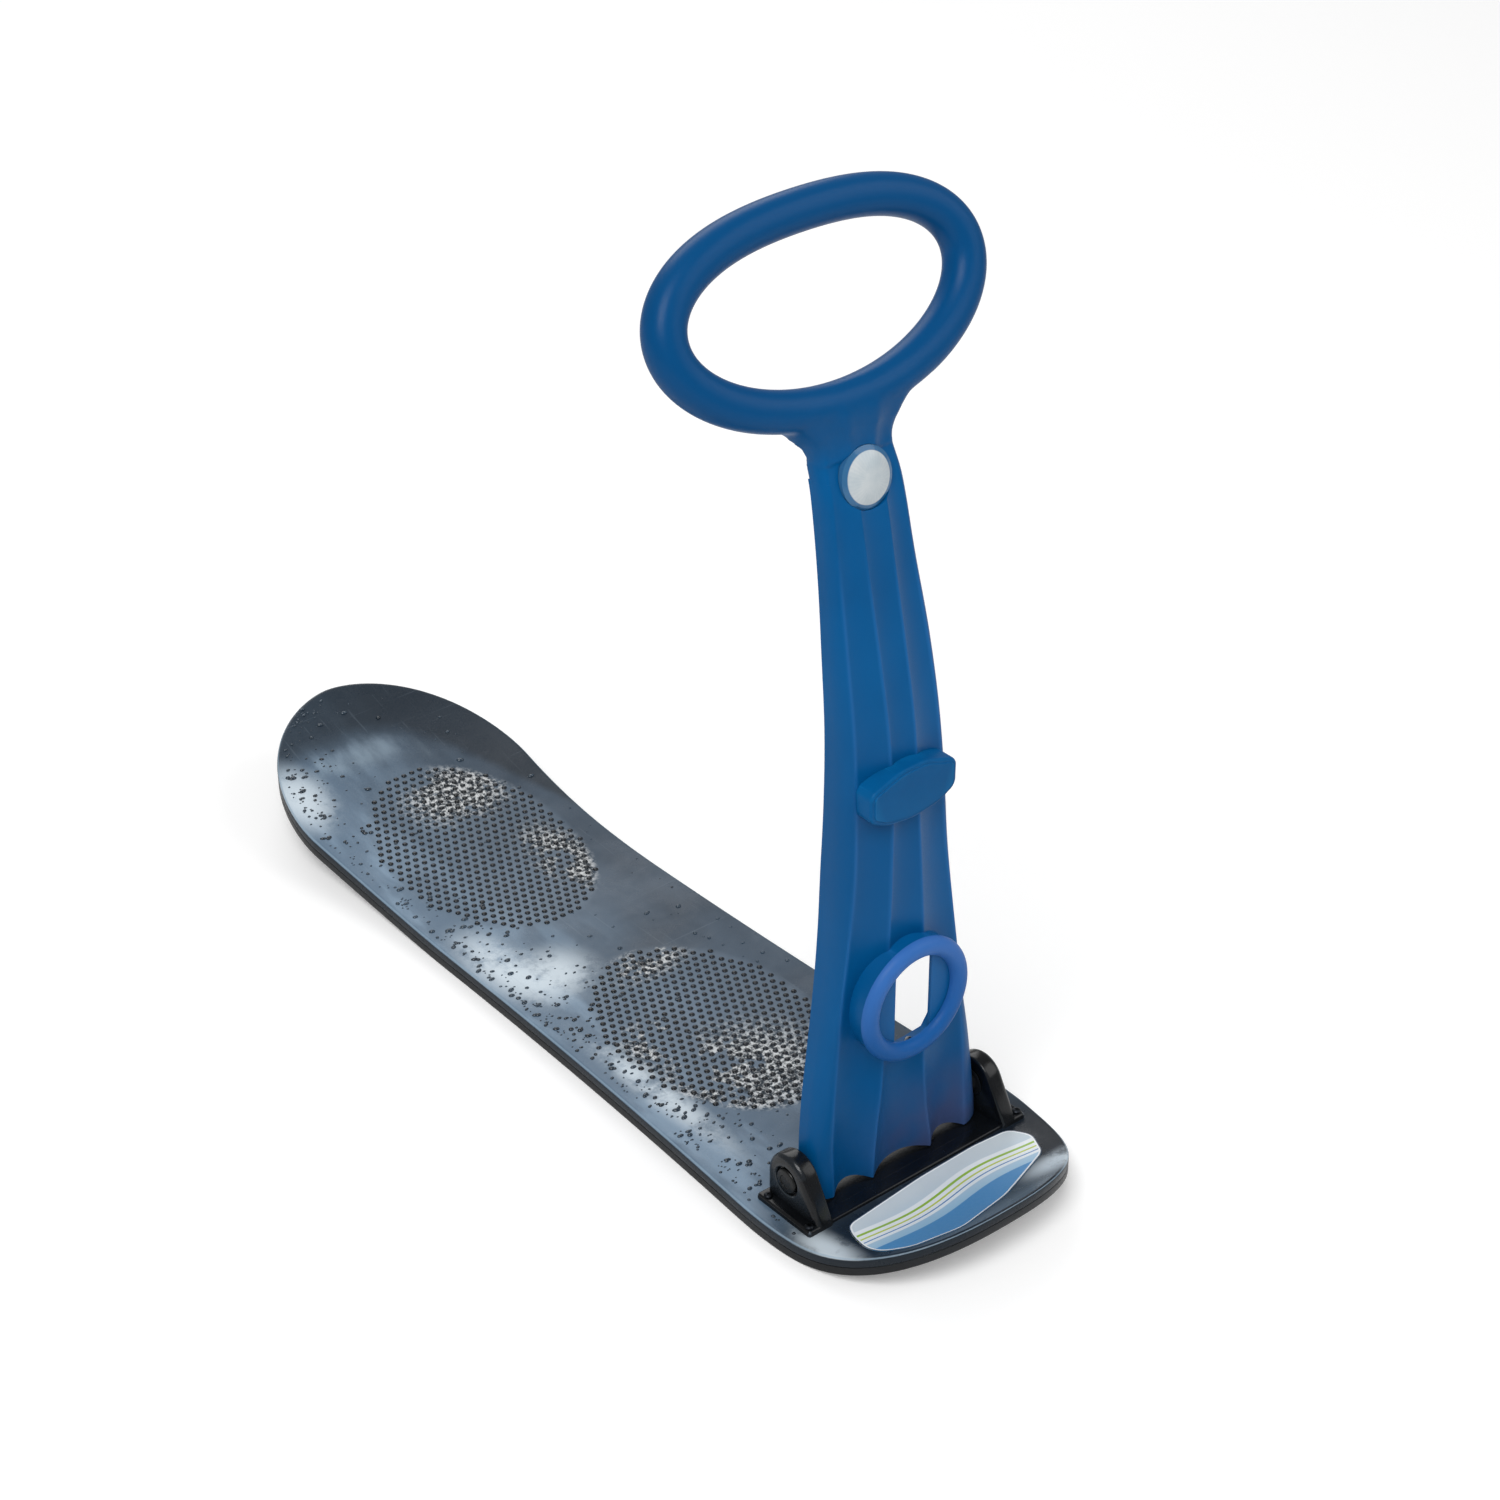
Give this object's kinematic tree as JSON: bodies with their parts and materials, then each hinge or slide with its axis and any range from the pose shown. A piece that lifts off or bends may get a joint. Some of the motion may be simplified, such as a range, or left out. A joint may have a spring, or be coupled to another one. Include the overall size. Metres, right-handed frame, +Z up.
{
  "type": "snow scooter",
  "caption": "Folding snow scooter: a flat snowboard deck turned up at both ends, with a fluted open-backed steering column, an oval ring grip and a push-button lamp near its top.",
  "frame": {"origin": "middle of the footprint on the floor, under the deck", "axes": "+Z up, -Y towards the nose that the column stands on, +Y towards the tail, +X to the rider's left looking forward"},
  "size_m": [0.3074, 0.94, 0.8031],
  "materials": {
    "deck_black": "wet-looking satin with faint smears",
    "base_black": "satin",
    "label_print": "printed sheet, satin",
    "bracket_black": "satin",
    "cap_black": "satin",
    "screw_steel": "zinc plated",
    "handle_blue": "semi-gloss moulded",
    "collar_blue": "semi-gloss moulded",
    "badge_blue": "satin moulded",
    "bush_white": "satin",
    "case_black": "matt",
    "circuit_green": "lacquered",
    "led_red": "clear tinted",
    "led_green": "clear tinted",
    "led_blue": "clear tinted",
    "cell_steel": "bright",
    "contact_brass": "bright",
    "lens_clear": "translucent frosted"
  },
  "bodies": {
    "board": {"deck_shell": "deck_black", "running_base": "base_black", "base_screw_1": "screw_steel", "base_screw_2": "screw_steel", "base_screw_3": "screw_steel", "base_screw_4": "screw_steel", "base_screw_5": "screw_steel", "base_screw_6": "screw_steel", "base_screw_7": "screw_steel", "base_screw_8": "screw_steel", "nose_label": "label_print", "hinge_bracket": "bracket_black", "bracket_screw_1": "screw_steel", "bracket_screw_2": "screw_steel", "bracket_screw_3": "screw_steel", "bracket_screw_4": "screw_steel", "hinge_axle": "screw_steel", "axle_cap_right": "cap_black", "axle_cap_left": "cap_black"},
    "handle": {"column_foot": "handle_blue", "column_lower": "handle_blue", "column_waist": "handle_blue", "column_head": "handle_blue", "grip_ring": "handle_blue", "hinge_bush_right": "bush_white", "hinge_bush_left": "bush_white", "collar_ring": "collar_blue", "collar_screw_1": "screw_steel", "collar_screw_2": "screw_steel", "badge_block": "badge_blue", "badge_screw_1": "screw_steel", "badge_screw_2": "screw_steel", "lamp_case": "case_black", "case_screw_1": "screw_steel", "case_screw_2": "screw_steel", "battery_cover": "case_black", "cover_screw": "screw_steel", "circuit_board": "circuit_green", "push_switch": "case_black", "led_red": "led_red", "led_green": "led_green", "led_blue": "led_blue", "button_cell_1": "cell_steel", "button_cell_2": "cell_steel", "button_cell_3": "cell_steel", "contact_front": "contact_brass", "contact_rear": "contact_brass"},
    "lens": {"lens_button": "lens_clear"}
  },
  "joints": [
    {"name": "handle_fold", "type": "hinge", "parent": "board", "child": "handle", "pos_m": [0, -0.33, 0.0445], "axis": [-1, 0, 0], "range_deg": [0, 77]},
    {"name": "lens_press", "type": "slide", "parent": "handle", "child": "lens", "axis": [0, 0.9724, -0.2334], "range_m": [0, 0.0015], "stiffness_N_per_m": 400}
  ]
}
